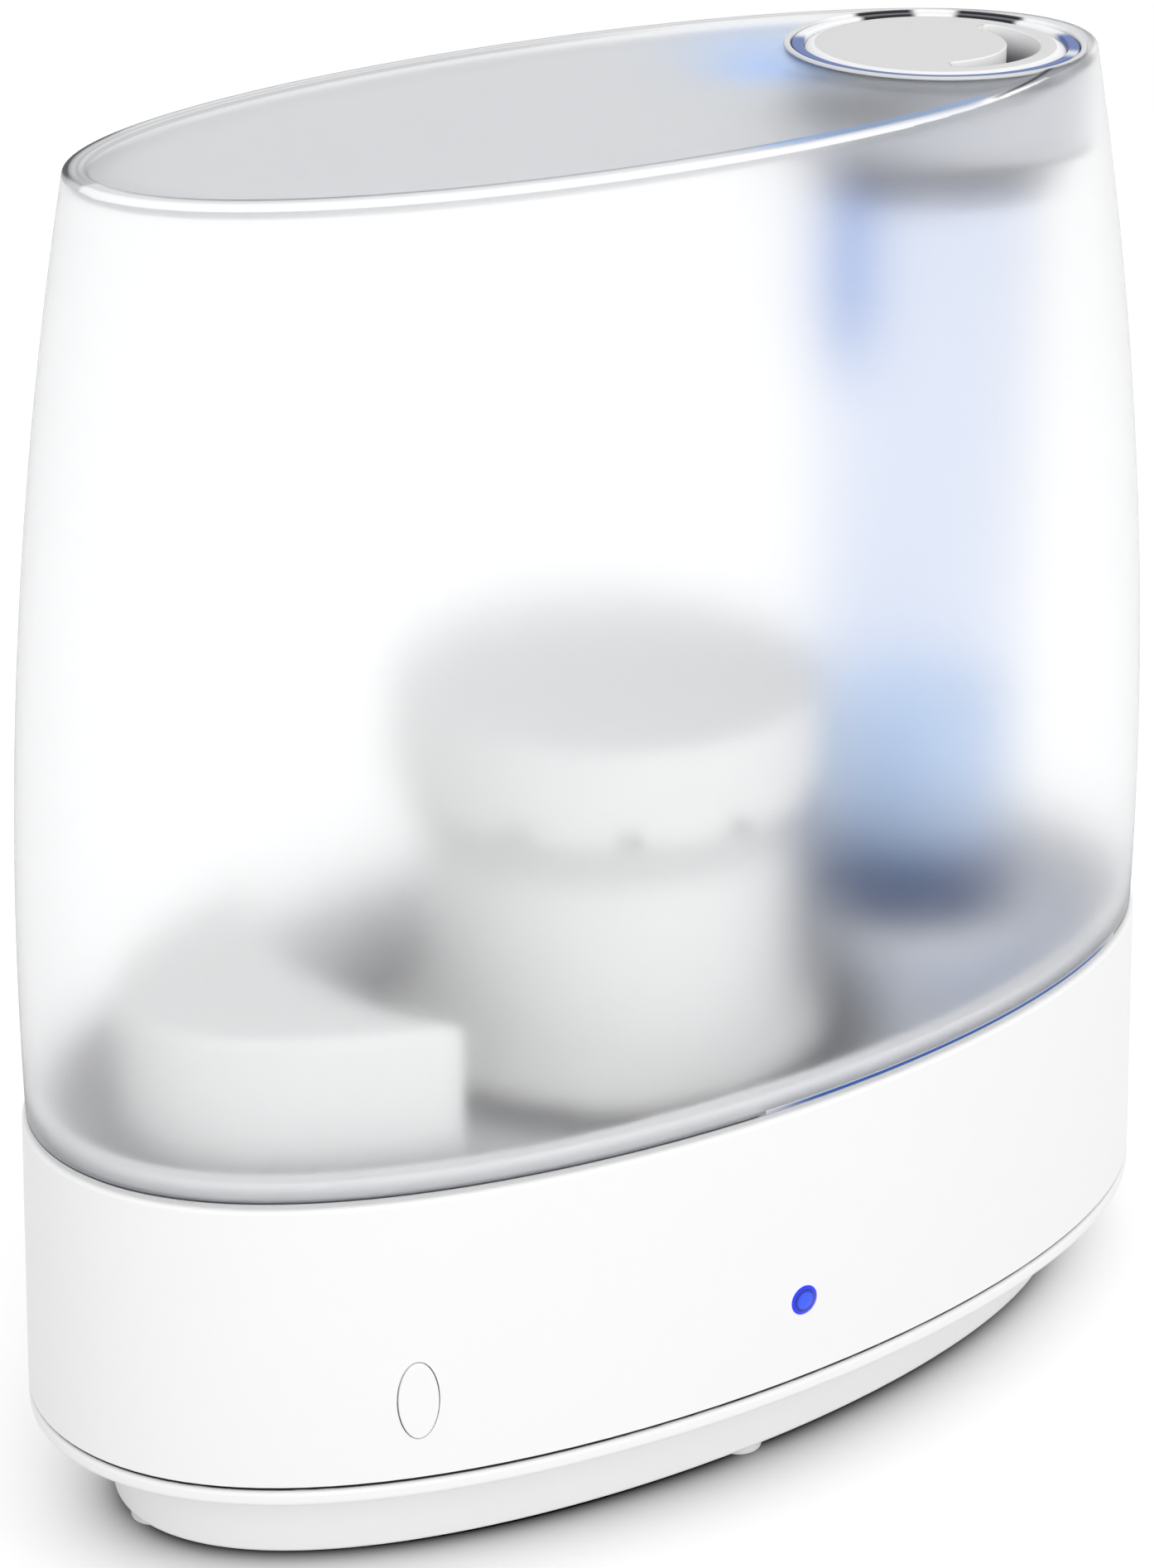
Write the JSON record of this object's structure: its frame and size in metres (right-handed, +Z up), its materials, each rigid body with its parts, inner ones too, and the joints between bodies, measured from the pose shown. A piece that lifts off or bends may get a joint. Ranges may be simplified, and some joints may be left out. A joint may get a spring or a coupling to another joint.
{
  "type": "cool mist humidifier",
  "caption": "Free-standing oval cool mist humidifier: white base with button and lamp, frosted lift-off water tank, inner filter pot and a turning mist nozzle.",
  "frame": {"origin": "on the floor, under the middle of the base", "axes": "+Z up, +X along the oval to the nozzle end, -Y the front with the button and the lamp"},
  "size_m": [0.3, 0.154, 0.309],
  "materials": {
    "base_white": "smooth moulded white, soft gloss",
    "inner_white": "moulded white, matt",
    "tank_frosted": "frosted translucent, fine satin",
    "clear_plastic": "clear, polished",
    "collar_blue": "translucent, lit blue from below",
    "nozzle_white": "moulded white, satin",
    "nozzle_grey": "moulded grey, satin",
    "lamp_blue": "clear blue lens",
    "rubber": "soft pale grey",
    "steel": "plated steel",
    "disc_metal": "plated disc",
    "circuit_green": "glass fibre board",
    "switch_black": "black moulding",
    "heat_sink_metal": "extruded",
    "copper_winding": "enamelled winding",
    "float_foam": "closed foam",
    "magnet_iron": "sintered ring",
    "granules": "amber resin beads",
    "valve_plastic": "moulded"
  },
  "bodies": {
    "base": {"base_housing": "base_white", "bottom_cover": "base_white", "rubber_feet": "rubber", "cover_screws": "steel", "water_basin": "inner_white", "fan_housing": "inner_white", "fan_motor": "steel", "transducer_disc": "disc_metal", "transducer_seal": "rubber", "transducer_clamp": "inner_white", "transducer_screws": "steel", "glow_board": "circuit_green", "power_board": "circuit_green", "transformer_coil": "copper_winding", "transformer_core": "steel", "driver_board": "circuit_green", "heat_sink": "heat_sink_metal", "button_board": "circuit_green", "button_switch": "switch_black", "status_lamp": "lamp_blue", "lamp_led": "lamp_blue", "lamp_board": "circuit_green", "cord_gland": "rubber", "float_retainer": "inner_white", "reed_switch": "switch_black", "mist_collar": "collar_blue"},
    "fan": {"fan_shaft": "steel", "fan_impeller": "switch_black"},
    "button": {"power_button": "base_white"},
    "float": {"float_body": "float_foam", "float_magnet": "magnet_iron"},
    "tank": {"tank_shell": "tank_frosted", "tank_floor": "inner_white", "mist_chimney": "clear_plastic", "chimney_seals": "rubber", "outlet_well": "clear_plastic"},
    "nozzle_holder": {"nozzle_cup": "nozzle_grey"},
    "nozzle": {"nozzle_cap": "nozzle_white"},
    "cap": {"tank_cap": "inner_white", "cap_seal": "rubber", "cartridge_body": "inner_white", "cartridge_head": "inner_white", "filter_granules": "granules"},
    "valve": {"valve_stem": "valve_plastic", "valve_seal": "rubber", "valve_spring": "steel"}
  },
  "joints": [
    {"name": "tank_lift", "type": "slide", "parent": "base", "child": "tank", "axis": [0, 0, 1], "range_m": [0, 0.15]},
    {"name": "nozzle_lift", "type": "slide", "parent": "tank", "child": "nozzle_holder", "axis": [0, 0, 1], "range_m": [0, 0.05]},
    {"name": "nozzle_turn", "type": "hinge", "parent": "nozzle_holder", "child": "nozzle", "pos_m": [0.09, 0, 0.309], "axis": [0, 0, 1], "continuous": true},
    {"name": "cap_turn", "type": "hinge", "parent": "tank", "child": "cap", "pos_m": [0, 0, 0.088], "axis": [0, 0, 1], "range_deg": [0, 60]},
    {"name": "valve_slide", "type": "slide", "parent": "cap", "child": "valve", "axis": [0, 0, 1], "range_m": [-0.005, 0], "deforming": ["valve_spring"]},
    {"name": "float_slide", "type": "slide", "parent": "base", "child": "float", "axis": [0, 0, 1], "range_m": [0, 0.008]},
    {"name": "button_press", "type": "slide", "parent": "base", "child": "button", "axis": [0.3508, 0.9359, -0.0313], "range_m": [0, 0.001], "stiffness_N_per_m": 900, "springref_m": -0.0006},
    {"name": "fan_spin", "type": "hinge", "parent": "base", "child": "fan", "pos_m": [-0.096, 0, 0.057], "axis": [0, 0, 1], "continuous": true}
  ],
  "couplings": [
    {"joint": "valve_slide", "follows": "tank_lift", "ratio": -0.0333}
  ]
}
